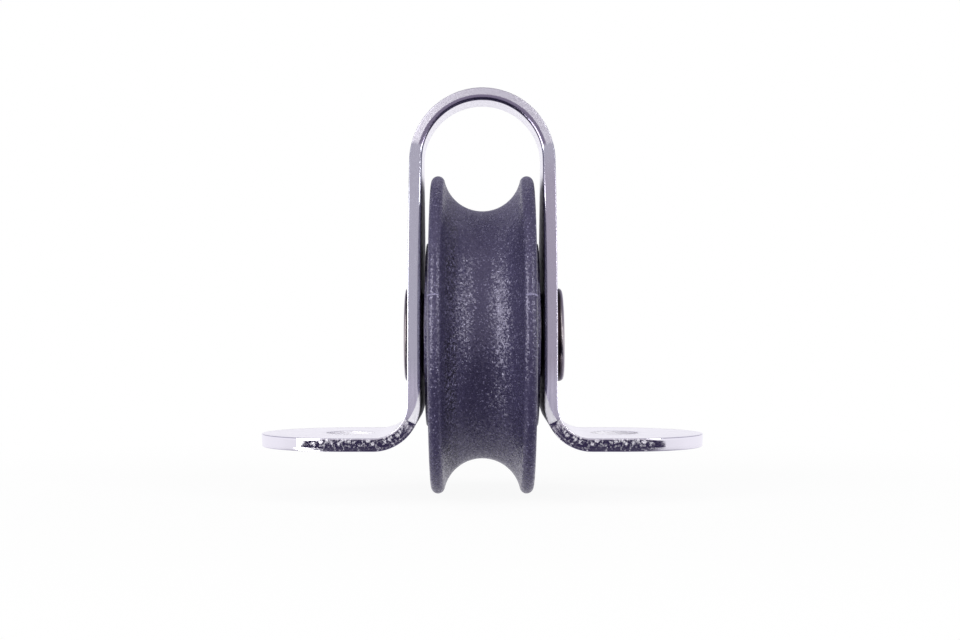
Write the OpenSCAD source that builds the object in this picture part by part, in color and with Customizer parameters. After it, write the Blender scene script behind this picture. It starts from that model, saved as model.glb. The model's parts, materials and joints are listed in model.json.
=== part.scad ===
// Exit block for a small sailing boat: a one-piece bent strap carries a grooved sheave on a tube rivet.
// X runs along the axle from foot to foot, Y along the run of the line, and Z up from the deck.
// The origin lies midway between the two screw holes, on the underside of the feet.

/* [Sheave] */
// Diameter over the lips
sheave_d = 30; // [27:0.5:34]
// Diameter at the bottom of the groove
groove_d = 23.4; // [21.4:0.1:24.6]
// Radius of the groove's round section
groove_r = 3.65; // [3.4:0.05:4.1]
// Width over the lips
lip_w = 9.6; // [9:0.1:11]
// How far each side widens from its lip down to the hub boss
side_taper = 0.2; // [0:0.05:0.5]
// How far the hub boss stands out from each side
hub_step = 0.25; // [0.1:0.05:0.6]
// Diameter of the hub boss
hub_d = 17.3; // [12:0.1:21]

/* [Strap] */
// Thickness of the sheet
strap_t = 1.2; // [0.8:0.1:2]
// Width of the feet and of the lower walls
strap_w = 16.8; // [12:0.1:20]
// Width of the crown
crown_w = 5.5; // [3:0.1:8]
// Inside radius of the bends above the feet
bend_r = 3.1; // [1.5:0.1:4.5]
// Height of the wall that keeps its full width above each bend
full_h = 3.7; // [2:0.1:6]
// How far above the foot of the arch the narrowing strip reaches the crown's width
neck_rise = 1.5; // [0.5:0.05:3]
// Room for the line between the groove and the underside of the crown
line_room = 10.25; // [9:0.05:14]
// Radius of the tumbled edges
edge_r = 0.3; // [0.1:0.05:0.35]

/* [Screw holes] */
// Diameter of each screw hole
screw_d = 4.5; // [3:0.1:6]
// Flat land between each bend and its screw hole
hole_land = 0.35; // [0:0.05:3]

/* [Axle] */
// Height of the axle above the deck
axle_z = 10.5; // [9.5:0.1:13]
// Outer diameter of the tube rivet
rivet_d = 6; // [5:0.1:7]
// Bore of the tube rivet
rivet_bore_d = 4.4; // [3:0.1:4.6]
// Diameter of the rivet's rolled heads
head_d = 8.8; // [8.2:0.1:10]
// Thickness of the rolled heads
head_t = 0.9; // [0.4:0.05:1]
// Outer diameter of the bush
bush_d = 8; // [7.5:0.1:10]

/* [Fits] */
// Gap between the hub boss and each wall
side_clear = 0.35; // [0.2:0.05:1]
// Radial gap between the bush and the sheave that runs on it
run_clear = 0.08; // [0.03:0.01:0.1]
// Radial gap round the rivet in the bush and in the walls
rivet_clear = 0.05; // [0.02:0.01:0.1]

/* [Hidden] */
$fn = 96;

// Half widths of the sheave, from the lip to the hub
lip_half = lip_w / 2;
side_half = lip_half + side_taper;
hub_half = side_half + hub_step;

// The lip is a full round that touches the groove, the side and the outer diameter
groove_z = groove_d / 2 + groove_r;
groove_out = groove_z - sheave_d / 2;
lip_sum = lip_half + groove_r - groove_out;
lip_r = lip_sum - sqrt(lip_sum ^ 2 - lip_half ^ 2 - groove_out ^ 2 + groove_r ^ 2);
lip_z = sheave_d / 2 - lip_r;
lip_x = lip_half - lip_r;
touch_x = lip_x * groove_r / (groove_r + lip_r);
touch_z = groove_z - (groove_z - lip_z) * groove_r / (groove_r + lip_r);
bore_r = bush_d / 2 + run_clear;

// The strap is wrapped round the sheave
wall_in = hub_half + side_clear;
wall_out = wall_in + strap_t;
wall_mid = wall_in + strap_t / 2;
bend_x = wall_out + bend_r;
bend_z = strap_t + bend_r;
hole_x = bend_x + hole_land + screw_d / 2;
shoulder_z = bend_z + full_h;
arch_z = axle_z + groove_d / 2 + line_room - wall_in;
neck_z = arch_z + neck_rise;

// Each edge is an arc from the full width at the shoulder to the crown's width at the neck
narrowing = (strap_w - crown_w) / 2;
cheek_r = ((neck_z - shoulder_z) ^ 2 + narrowing ^ 2) / (2 * narrowing);
cheek_y = strap_w / 2 - cheek_r;

// Tube rivet
head_out = wall_out + head_t;
roll_r = (rivet_d - rivet_bore_d) / 2;
pass = 1;

// Section of the sheet across its width, with its four edges rounded
module sheet_section(thick, wide) {
    square([thick - 2 * edge_r, wide], center = true);
    square([thick, wide - 2 * edge_r], center = true);
    for (x = [-1, 1], y = [-1, 1])
        translate([x * (thick / 2 - edge_r), y * (wide / 2 - edge_r)])
            circle(edge_r);
}

// Disc of sheet about Z with a rounded rim, turned through the angle given
module sheet_disc(radius, sweep) {
    rotate_extrude(angle = sweep) {
        translate([0, -strap_t / 2])
            square([radius - edge_r, strap_t]);
        translate([0, -strap_t / 2 + edge_r])
            square([radius, strap_t - 2 * edge_r]);
        for (y = [-1, 1])
            translate([radius - edge_r, y * (strap_t / 2 - edge_r)])
                circle(edge_r);
    }
}

// Half-round arch over the sheave
module crown() {
    translate([0, 0, arch_z])
        rotate([90, 0, 0])
            rotate_extrude(angle = 180)
                translate([wall_mid, 0])
                    sheet_section(strap_t, crown_w);
}

// Foot of the arch, where the strip still narrows to the crown's width
module collar() {
    intersection() {
        translate([0, 0, arch_z])
            rotate([90, 0, 0])
                rotate_extrude(angle = 90)
                    translate([wall_mid, 0])
                        square([strap_t, strap_w], center = true);
        intersection_for (side = [-1, 1])
            translate([0, side * cheek_y, shoulder_z])
                rotate([0, 90, 0])
                    cylinder(r = cheek_r, h = wall_out + pass);
        translate([0, -strap_w / 2, arch_z])
            cube([wall_out + pass, strap_w, neck_rise]);
    }
}

// Upper wall: two large arcs narrow it towards the crown
module cheek() {
    intersection() {
        intersection_for (side = [-1, 1])
            translate([wall_mid, side * cheek_y, shoulder_z])
                rotate([0, 90, 0])
                    sheet_disc(cheek_r, 360);
        translate([wall_in - pass, -strap_w / 2, shoulder_z])
            cube([strap_t + 2 * pass, strap_w, arch_z - shoulder_z]);
    }
}

// One half of the strap below the crown: wall, bend and foot
module leg() {
    translate([wall_mid, 0, shoulder_z])
        linear_extrude(arch_z - shoulder_z)
            sheet_section(strap_t, crown_w);
    cheek();
    collar();
    translate([wall_mid, 0, bend_z])
        linear_extrude(full_h)
            sheet_section(strap_t, strap_w);
    translate([bend_x, 0, bend_z])
        rotate([90, 180, 0])
            rotate_extrude(angle = 90)
                translate([bend_r + strap_t / 2, 0])
                    sheet_section(strap_t, strap_w);
    translate([bend_x, 0, strap_t / 2])
        rotate([90, 0, 90])
            linear_extrude(hole_x - bend_x)
                sheet_section(strap_w, strap_t);
    translate([hole_x, 0, strap_t / 2])
        rotate([0, 0, -90])
            sheet_disc(strap_w / 2, 180);
}

// Polished stainless strap, bent from one blank
module strap() {
    color("#b9b6c0")
        difference() {
            union() {
                crown();
                leg();
                mirror([1, 0, 0])
                    leg();
            }
            for (side = [-1, 1])
                translate([side * hole_x, 0, -pass])
                    cylinder(d = screw_d, h = strap_t + 2 * pass);
            translate([-wall_out - pass, 0, axle_z])
                rotate([0, 90, 0])
                    cylinder(r = rivet_d / 2 + rivet_clear, h = 2 * (wall_out + pass));
        }
}

// Section of the sheave, drawn with its radius along X and the axle along Y
module sheave_section() {
    difference() {
        polygon([
            [bore_r, -hub_half], [hub_d / 2, -hub_half], [hub_d / 2, -side_half],
            [lip_z, -lip_half], [lip_z, -lip_x], [touch_z, -touch_x],
            [touch_z, touch_x], [lip_z, lip_x], [lip_z, lip_half],
            [hub_d / 2, side_half], [hub_d / 2, hub_half], [bore_r, hub_half]
        ]);
        translate([groove_z, 0])
            circle(groove_r);
    }
    for (side = [-1, 1])
        translate([lip_z, side * lip_x])
            circle(lip_r);
}

// Black moulded sheave with a half-round groove and a raised hub on both sides
module sheave() {
    color("#2b2933")
        translate([0, 0, axle_z])
            rotate([0, 90, 0])
                rotate_extrude()
                    sheave_section();
}

// Plain bush that keeps the walls apart and carries the sheave
module axle_bush() {
    color("#a9a7ad")
        translate([-wall_in, 0, axle_z])
            rotate([0, 90, 0])
                difference() {
                    cylinder(d = bush_d, h = 2 * wall_in);
                    translate([0, 0, -pass])
                        cylinder(r = rivet_d / 2 + rivet_clear, h = 2 * (wall_in + pass));
                }
}

// Section of one rolled head: the tube's mouth turns outward into a flange with a round rim
module head_section() {
    translate([rivet_d / 2, head_out - roll_r])
        intersection() {
            circle(roll_r);
            translate([-roll_r, 0])
                square(roll_r);
        }
    translate([rivet_d / 2, wall_out])
        square([head_d / 2 - head_t / 2 - rivet_d / 2, head_t]);
    translate([head_d / 2 - head_t / 2, wall_out + head_t / 2])
        circle(head_t / 2);
}

// Section of the tube rivet, drawn with its radius along X and the axle along Y
module rivet_section() {
    translate([rivet_bore_d / 2, -head_out + roll_r])
        square([roll_r, 2 * (head_out - roll_r)]);
    head_section();
    mirror([0, 1])
        head_section();
}

// Tube rivet through both walls and the bush
module axle_rivet() {
    color("#c2c0c6")
        translate([0, 0, axle_z])
            rotate([0, 90, 0])
                rotate_extrude()
                    rivet_section();
}

strap();
sheave();
axle_bush();
axle_rivet();
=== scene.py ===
"""Dressed model of a small exit block: a bent stainless strap, a black sheave, a bush and a tube rivet.

X runs along the axle from foot to foot, Y along the run of the line, and Z up from the deck. The photograph
looks along +Y. Sizes are in millimetres, and each mesh is scaled to metres when it is made.
"""

import json
import logging
from collections.abc import Callable
from dataclasses import dataclass, field
from enum import Enum
from functools import partial
from typing import Any

import bmesh
import bpy
import numpy as np
from bpy.types import Material, Node, NodeSocket, NodeTree, Object, World
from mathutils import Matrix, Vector


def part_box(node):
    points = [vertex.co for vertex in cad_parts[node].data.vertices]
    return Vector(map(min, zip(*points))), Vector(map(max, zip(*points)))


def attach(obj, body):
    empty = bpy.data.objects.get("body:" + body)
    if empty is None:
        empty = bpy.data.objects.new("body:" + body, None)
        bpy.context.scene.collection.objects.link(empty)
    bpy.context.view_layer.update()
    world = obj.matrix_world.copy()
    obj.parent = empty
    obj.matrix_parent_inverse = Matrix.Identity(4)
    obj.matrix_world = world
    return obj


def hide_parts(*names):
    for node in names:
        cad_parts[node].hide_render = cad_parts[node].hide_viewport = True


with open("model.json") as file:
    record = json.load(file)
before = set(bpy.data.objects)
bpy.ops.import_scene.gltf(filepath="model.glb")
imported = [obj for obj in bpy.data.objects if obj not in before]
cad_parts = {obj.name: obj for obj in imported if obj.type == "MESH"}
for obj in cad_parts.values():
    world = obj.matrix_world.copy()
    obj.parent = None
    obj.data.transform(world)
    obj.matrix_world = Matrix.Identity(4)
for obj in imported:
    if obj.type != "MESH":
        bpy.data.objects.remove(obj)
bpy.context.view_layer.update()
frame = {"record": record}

MM = 0.001
WELD_MM = 0.002
FLAT_FACE_WEIGHT = 100
IMAGE_WIDTH_PX = 960
WHITE = (1.0, 1.0, 1.0, 1.0)
NUMBER = {"data_type": "FLOAT"}
COLOUR = {"data_type": "RGBA"}
SMOOTH = {"interpolation_type": "SMOOTHSTEP"}
TIMES = {"operation": "MULTIPLY"}
GREATER = {"operation": "MAXIMUM"}
NOISE_LOW, NOISE_HIGH = 0.3, 0.7
Pair = tuple[float, float]
Triple = tuple[float, float, float]
Rgba = tuple[float, float, float, float]
AddNode = Callable[..., Node]
log = logging.getLogger("exit_block")


class Body(Enum):
    """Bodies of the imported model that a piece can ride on."""

    FRAME = "frame"
    WHEEL = "wheel"


def linear(hex_colour: str) -> Rgba:
    """Turns an sRGB hex colour into the linear colour that shaders take.

    Args:
        hex_colour: Colour written as "#RRGGBB".

    Returns:
        Linear red, green and blue, with an alpha of one.
    """
    coded = np.array([int(hex_colour[i:i + 2], 16) for i in (1, 3, 5)]) / 255
    plain = np.where(coded <= 0.04045, coded / 12.92, ((coded + 0.055) / 1.055) ** 2.4)
    return (*plain.tolist(), 1.0)


def per_mm(size_mm: float) -> float:
    """Texture scale on Object coordinates, in metres, that makes a feature of the size given."""
    return 1 / (size_mm * MM)


def add_node(tree: NodeTree, kind: str, settings: dict[str, Any] | None = None,
             inputs: dict[str | int, Any] | None = None) -> Node:
    """Adds a shader node with its settings, its constant inputs and its links.

    Args:
        tree: Node tree that gets the node.
        kind: Blender's type name of the node, without "ShaderNode".
        settings: Properties of the node itself.
        inputs: Sockets in use, by name or place, each with a constant, an output or the node that feeds it.

    Returns:
        The new node.
    """
    made = tree.nodes.new("ShaderNode" + kind)
    for name, value in (settings or {}).items():
        setattr(made, name, value)
    sockets = [socket for socket in made.inputs if socket.enabled]
    for key, value in (inputs or {}).items():
        socket = next(item for place, item in enumerate(sockets) if key in (place, item.name))
        if isinstance(value, Node):
            value = next(output for output in value.outputs if output.enabled)
        if isinstance(value, NodeSocket):
            tree.links.new(value, socket)
        else:
            socket.default_value = value
    return made


def empty_tree(owner: Material | World) -> NodeTree:
    """Gives a material or the world an empty node tree.

    Args:
        owner: Material or world.

    Returns:
        Its node tree.
    """
    owner.use_nodes = True
    owner.node_tree.nodes.clear()
    return owner.node_tree


def arc(centre: Pair, radius: float, start: float, end: float, steps: int) -> np.ndarray:
    """Points on an arc, in even steps of degrees: the centre plus the radius times (cosine, sine)."""
    turn = np.radians(np.linspace(start, end, steps + 1))
    return np.asarray(centre) + radius * np.column_stack((np.cos(turn), np.sin(turn)))


def smooth_step(low: float, high: float, value: np.ndarray) -> np.ndarray:
    """Rises smoothly from 0 at low to 1 at high, along the cubic 3 q q - 2 q q q."""
    share = np.clip((value - low) / (high - low), 0, 1)
    return share * share * (3 - 2 * share)


def unit_rows(vectors: np.ndarray) -> np.ndarray:
    """Brings each row of an array to length one."""
    return vectors / np.linalg.norm(vectors, axis=1, keepdims=True)


def rounded(corners: list[Pair], radius: float, steps: int) -> np.ndarray:
    """Open polyline whose inner corners are replaced by tangent arcs.

    Each arc's centre lies on the corner's bisector, at radius / sin(half the angle) from the corner, and its
    points are the spokes to the two tangent points, blended so that they keep the radius.

    Args:
        corners: Corner points, of which the first and last stay as they are.
        radius: Radius at each inner corner.
        steps: Steps on each arc.

    Returns:
        Array of points of shape (n, 2).
    """
    points = np.asarray(corners, float)
    share = np.linspace(0, 1, steps + 1)[:, None]
    parts = [points[:1]]
    for before, at, after in zip(points[:-2], points[1:-1], points[2:]):
        back, ahead = unit_rows(np.stack((before - at, after - at)))
        half = np.arccos(np.clip(back @ ahead, -1, 1)) / 2
        bisector = (back + ahead) / np.linalg.norm(back + ahead)
        centre = at + bisector * radius / np.sin(half)
        first = at + back * radius / np.tan(half) - centre
        last = at + ahead * radius / np.tan(half) - centre
        sweep = np.pi - 2 * half
        spoke = (np.sin((1 - share) * sweep) * first + np.sin(share * sweep) * last) / np.sin(sweep)
        parts.append(centre + spoke)
    parts.append(points[-1:])
    return np.concatenate(parts)


@dataclass
class Shell:
    """Gathers grids of points into one closed mesh, in millimetres."""

    points: list[np.ndarray] = field(default_factory=list)
    quads: list[np.ndarray] = field(default_factory=list)
    marks: list[np.ndarray] = field(default_factory=list)
    count: int = 0

    def add_grid(self, grid: np.ndarray, marks: np.ndarray | None = None,
                 closed: tuple[bool, bool] = (False, False), keep: np.ndarray | None = None) -> None:
        """Adds a grid of points, joined into quads with their neighbours.

        Args:
            grid: Points of shape (rows, columns, 3).
            marks: Values of shape (rows, columns, 4) for the material: run, across, depth and edge.
            closed: Whether the last row joins the first, and the last column the first.
            keep: Cells that stay, of shape (cell rows, cell columns), or None for all.
        """
        rows, columns = grid.shape[:2]
        index = np.arange(rows * columns).reshape(rows, columns)
        if closed[0]:
            index = np.vstack((index, index[:1]))
        if closed[1]:
            index = np.hstack((index, index[:, :1]))
        cells = np.stack((index[:-1, :-1], index[:-1, 1:], index[1:, 1:], index[1:, :-1]), axis=-1)
        cells = cells.reshape(-1, 4) if keep is None else cells[keep]
        self.points.append(grid.reshape(-1, 3))
        self.quads.append(cells + self.count)
        self.marks.append(np.zeros((rows * columns, 4)) if marks is None else marks.reshape(-1, 4))
        self.count += rows * columns

    def to_object(self, name: str) -> Object:
        """Makes the mesh object: equal points are merged, loose ones dropped and the normals turned outwards.

        Args:
            name: Name of the piece.

        Returns:
            The new object, at the origin, with the attributes "lay" and "edge".
        """
        mesh = bpy.data.meshes.new(name)
        marks = np.concatenate(self.marks)
        mesh.from_pydata(np.concatenate(self.points) * MM, [], np.concatenate(self.quads))
        lay = mesh.attributes.new("lay", "FLOAT_VECTOR", "POINT")
        lay.data.foreach_set("vector", np.ascontiguousarray(marks[:, :3], np.float32).ravel())
        edge = mesh.attributes.new("edge", "FLOAT", "POINT")
        edge.data.foreach_set("value", marks[:, 3].astype(np.float32))
        work = bmesh.new()
        work.from_mesh(mesh)
        loose = [vert for vert in work.verts if not vert.link_faces]
        bmesh.ops.delete(work, geom=loose, context="VERTS")
        bmesh.ops.remove_doubles(work, verts=work.verts, dist=WELD_MM * MM)
        bmesh.ops.recalc_face_normals(work, faces=work.faces)
        open_edges = sum(1 for item in work.edges if not item.is_manifold)
        work.to_mesh(mesh)
        work.free()
        mesh.polygons.foreach_set("use_smooth", np.ones(len(mesh.polygons), bool))
        mesh.update()
        made = bpy.data.objects.new(name, mesh)
        bpy.context.scene.collection.objects.link(made)
        made.modifiers.new("flat faces stay flat", "WEIGHTED_NORMAL").weight = FLAT_FACE_WEIGHT
        log.info("%s: %d faces, %d open edges", name, len(mesh.polygons), open_edges)
        return made


def place(piece: Object, body: Body, node: str, slot: str, finish: Material) -> Object:
    """Dresses a piece, lets it ride on its body and lets it stand for its CAD node.

    Args:
        piece: Mesh object of the piece.
        body: Body that carries it.
        node: CAD node that it replaces.
        slot: The record's material slot; not used.
        finish: Material of the whole piece.

    Returns:
        The piece.
    """
    piece.data.materials.append(finish)
    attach(piece, body.value)
    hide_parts(node)
    return piece


@dataclass(frozen=True)
class TumbledStainless:
    """Stainless sheet, polished outside, mill-finished inside, blanked and then tumbled along its edges.

    The eye gets a mirror-like outer face with faint rolling lines, a duller inner face darkened by painted
    shade, greyer wall edges with lengthwise scuffs, a sandy crown edge that scatters the light, and foot
    edges that mirror the dark foreground between matt dabs. Painted shade darkens the right wall's edges
    below the neck and a line along the crown's inner rounding, painted light brightens the wall edges above
    the bends, and a painted highlight whitens a wedge at the foot of each wall. The white dabs and specks on
    the feet are partly frosted marks and partly painted glints. Lines and scuffs have a size along the strip
    and one beside it. A ramp runs between two values of its noise, and its third number is the most that it
    reaches.
    """

    face_hex: str = "#F1EFF5"
    left_edge_hex: str = "#D8DAE3"
    # Painted shade: the right wall's edges below the neck get this darker colour.
    right_edge_shade_hex: str = "#CCC8D4"
    # Painted light: the wall edges just above the bends get this lighter colour.
    low_edge_light_hex: str = "#E9E8F4"
    crown_hex: str = "#CCCAD1"
    # Painted shade: the dark line along the inner rounding of the crown's edge.
    crown_line_shade_hex: str = "#9A93A8"
    # Mill finish and painted shade: the inner faces of the walls get this dark colour.
    mill_and_shade_hex: str = "#5C5768"
    # Painted highlight: white of the wedge at the foot of each wall and of the dabs and specks on the feet,
    # which are partly frosted marks and partly painted glints. The screw hole's wall gets it too.
    spot_and_painted_highlight_hex: str = "#F6F5F8"
    face_rough: Pair = (0.07, 0.17)
    wall_rough: Pair = (0.14, 0.34)
    crown_rough: Pair = (0.44, 0.68)
    inside_rough: float = 0.4
    round_rough: float = 0.18
    foot_rough: float = 0.06
    spot_rough: float = 0.55
    spot_metal: float = 0.1
    lines_mm: Pair = (9.0, 0.16)
    scuffs_mm: Pair = (5.0, 0.2)
    sand_mm: float = 0.24
    ragged_mm: float = 0.144
    noise_rough: float = 0.65
    dab_mm: Triple = (0.36, 10 / 3, 0.45)
    dab_scatter: float = 0.9
    dab_ragged: float = 1.2
    dab_ramp: Triple = (1.14, 0.78, 0.62)
    speck_ramp: Triple = (0.52, 0.7, 0.5)
    dark_reach: float = 1.6
    dab_end: float = 5.4
    # Reach, depth and softness of the wedge of painted highlight at the foot of each wall.
    painted_highlight_reach: float = 1.4
    painted_highlight_depth: Pair = (-0.6, 0.25)
    painted_highlight_soft: float = 0.05
    bump_mm: float = 0.06
    bump_share: Pair = (0.03, 0.32)

    def patterns(self, add: AddNode, lay: NodeSocket) -> dict[str, Node]:
        """Noise of each kind of mark, stretched along the strap's lay.

        Args:
            add: Adds a node to the material.
            lay: Place on the strap: run along the strip, across it and through it.

        Returns:
            Noise by the name of its mark.
        """
        noise = {}
        for name, along, beside, detail in (
                ("lines", *self.lines_mm, 4.0), ("scuffs", *self.scuffs_mm, 4.0),
                ("sand", self.sand_mm, self.sand_mm, 4.0), ("ragged", self.ragged_mm, self.ragged_mm, 2.0)):
            at = add("Mapping", inputs={"Vector": lay, "Scale": (1 / along, 1 / beside, 1 / beside)})
            noise[name] = add("TexNoise", inputs={
                "Vector": at, "Scale": 1.0, "Detail": detail, "Roughness": self.noise_rough})
        return noise

    def masks(self, add: AddNode, lay: NodeSocket, noise: dict[str, Node],
              neck_run: float, bend_run: float, foot_run: float) -> dict[str, Node]:
        """Masks of the strap's zones and marks.

        The zones are smooth steps of one measure between two values. The wedge of painted highlight at the
        foot of each wall lies under a line that climbs through the sheet, and the dabs are cells with ragged
        rims.

        Args:
            add: Adds a node to the material.
            lay: Place on the strap: run along the strip, across it and through it.
            noise: Noise of each kind of mark.
            neck_run: Run from the crown's top at which the crown's sandy edge ends.
            bend_run: Run at which the bends begin.
            foot_run: Run at which the flat feet begin.

        Returns:
            Masks by name.
        """
        edge = add("Attribute", {"attribute_name": "edge"}).outputs["Fac"]
        run, _, depth = add("SeparateXYZ", inputs={0: lay}).outputs
        sideways = add("SeparateXYZ", inputs={0: add("TexCoord").outputs["Object"]}).outputs["X"]
        foot_at = bend_run + self.dark_reach
        dab_end = foot_run + self.dab_end
        masks = {name: add("MapRange", SMOOTH, {0: at, 1: low, 2: high}) for name, at, low, high in (
            ("edge", edge, 0.03, 0.25), ("bore", edge, 1.4, 1.8), ("right", sideways, -MM, MM),
            ("crown", run, neck_run + 0.25, neck_run - 0.25), ("below neck", run, neck_run, neck_run + 4),
            ("wall", run, neck_run + 2, neck_run + 4.5), ("low", run, bend_run - 4.5, bend_run - 1),
            ("foot", run, foot_at - 0.06, foot_at + 0.06), ("upper", run, foot_at + 0.06, foot_at - 0.06),
            ("dabbed", run, dab_end + 0.6, dab_end - 0.6), ("inside", depth, 0.1, -0.5),
            ("inner round", depth, -0.2, -0.3), ("crown round", depth, -0.02, -0.14),
            ("dab depth", depth, -0.2, 0.06))}
        # Wedge of painted highlight at the foot of each wall, under a line that climbs through the sheet.
        low, high = self.painted_highlight_depth
        line = add("MapRange", inputs={0: run, 1: bend_run - self.painted_highlight_reach, 2: foot_at, 3: low, 4: high})
        under = add("Math", {"operation": "SUBTRACT"}, {0: line, 1: depth})
        masks["under line"] = add("MapRange", SMOOTH, {0: under, 1: -self.painted_highlight_soft, 2: self.painted_highlight_soft})
        cells_at = add("Mapping", inputs={"Vector": lay, "Scale": [1 / size for size in self.dab_mm]})
        cells = add("TexVoronoi", inputs={"Vector": cells_at, "Scale": 1.0, "Randomness": self.dab_scatter})
        ragged = add("Math", {"operation": "MULTIPLY_ADD"}, {
            0: noise["ragged"], 1: self.dab_ragged, 2: cells})
        for name, pattern, (low, high, most) in (
                ("dabs", ragged, self.dab_ramp), ("specks", noise["sand"], self.speck_ramp)):
            masks[name] = add("MapRange", SMOOTH, {0: pattern, 1: low, 2: high, 4: most})
        # Bright gathers the feet's dabs and specks, partly frosted marks and partly painted glints, the wedge
        # of painted highlight and the screw hole's wall; shaded is the painted shade of the right wall's
        # edges.
        for name, operation, first, second in (
                ("painted highlight wedge", TIMES, "under line", "upper"), ("dab row", TIMES, "dabs", "dab depth"),
                ("spots", GREATER, "dab row", "specks"), ("spotted", TIMES, "foot", "dabbed"),
                ("foot spots", TIMES, "spots", "spotted"), ("spots and painted highlight", GREATER, "foot spots", "painted highlight wedge"),
                ("bright", GREATER, "spots and painted highlight", "bore"), ("bright edge", TIMES, "bright", "edge"),
                ("inner wall", TIMES, "inside", "wall"), ("mill", TIMES, "inner wall", "upper"),
                ("painted crown line", TIMES, "crown round", "crown"), ("bowed", GREATER, "painted crown line", "inner round"),
                ("shaded", TIMES, "right", "below neck")):
            masks[name] = add("Math", operation, {0: masks[first], 1: masks[second]})
        return masks

    def material(self, neck_run: float, bend_run: float, foot_run: float) -> Material:
        """Builds the material: each zone's roughness and colour is laid over the last one by its mask.

        Args:
            neck_run: Run from the crown's top at which the crown's sandy edge ends.
            bend_run: Run at which the bends begin.
            foot_run: Run at which the flat feet begin.

        Returns:
            The strap's material.
        """
        made = bpy.data.materials.new("tumbled stainless sheet")
        add = partial(add_node, empty_tree(made))
        lay = add("Attribute", {"attribute_name": "lay"}).outputs["Vector"]
        noise = self.patterns(add, lay)
        masks = self.masks(add, lay, noise, neck_run, bend_run, foot_run)
        uneven = {pattern: add("MapRange", inputs={
            0: noise[pattern], 1: NOISE_LOW, 2: NOISE_HIGH, 3: low, 4: high}) for pattern, (low, high) in (
                ("lines", self.face_rough), ("scuffs", self.wall_rough), ("sand", self.crown_rough))}
        edge_rough = uneven["scuffs"]
        for mask, over in (("foot", self.foot_rough), ("crown", uneven["sand"]), ("bowed", self.round_rough),
                           ("bright", self.spot_rough)):
            edge_rough = add("Mix", NUMBER, {0: masks[mask], 1: edge_rough, 2: over})
        face_rough = add("Mix", NUMBER, {0: masks["mill"], 1: uneven["lines"], 2: self.inside_rough})
        rough = add("Mix", NUMBER, {0: masks["edge"], 1: face_rough, 2: edge_rough})

        # Edge colours: painted shade on the right wall's edges below the neck, painted light on the wall
        # edges above the bends, polished feet, sandy crown, painted shade on the crown's inner line and
        # painted highlights where the edge is bright.
        edge_colour = linear(self.left_edge_hex)
        for mask, over_hex in (("shaded", self.right_edge_shade_hex), ("low", self.low_edge_light_hex),
                               ("foot", self.face_hex), ("crown", self.crown_hex),
                               ("painted crown line", self.crown_line_shade_hex), ("bright", self.spot_and_painted_highlight_hex)):
            edge_colour = add("Mix", COLOUR, {0: masks[mask], 1: edge_colour, 2: linear(over_hex)})
        # Inner faces of the walls: mill finish, with a colour darkened by painted shade.
        face_colour = add("Mix", COLOUR, {
            0: masks["mill"], 1: linear(self.face_hex), 2: linear(self.mill_and_shade_hex)})
        colour = add("Mix", COLOUR, {0: masks["edge"], 1: face_colour, 2: edge_colour})

        grain = add("Mix", NUMBER, {0: masks["crown"], 1: noise["scuffs"], 2: noise["sand"]})
        height = add("Mix", NUMBER, {0: masks["edge"], 1: noise["lines"], 2: grain})
        plain, sandy = self.bump_share
        strength = add("MapRange", inputs={0: masks["crown"], 3: plain, 4: sandy})
        bump = add("Bump", inputs={"Height": height, "Strength": strength, "Distance": self.bump_mm * MM})
        metal = add("MapRange", inputs={0: masks["bright edge"], 3: 1.0, 4: self.spot_metal})
        shader = add("BsdfPrincipled", inputs={
            "Base Color": colour, "Metallic": metal, "Roughness": rough, "Normal": bump})
        add("OutputMaterial", inputs={"Surface": shader})
        return made


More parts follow.
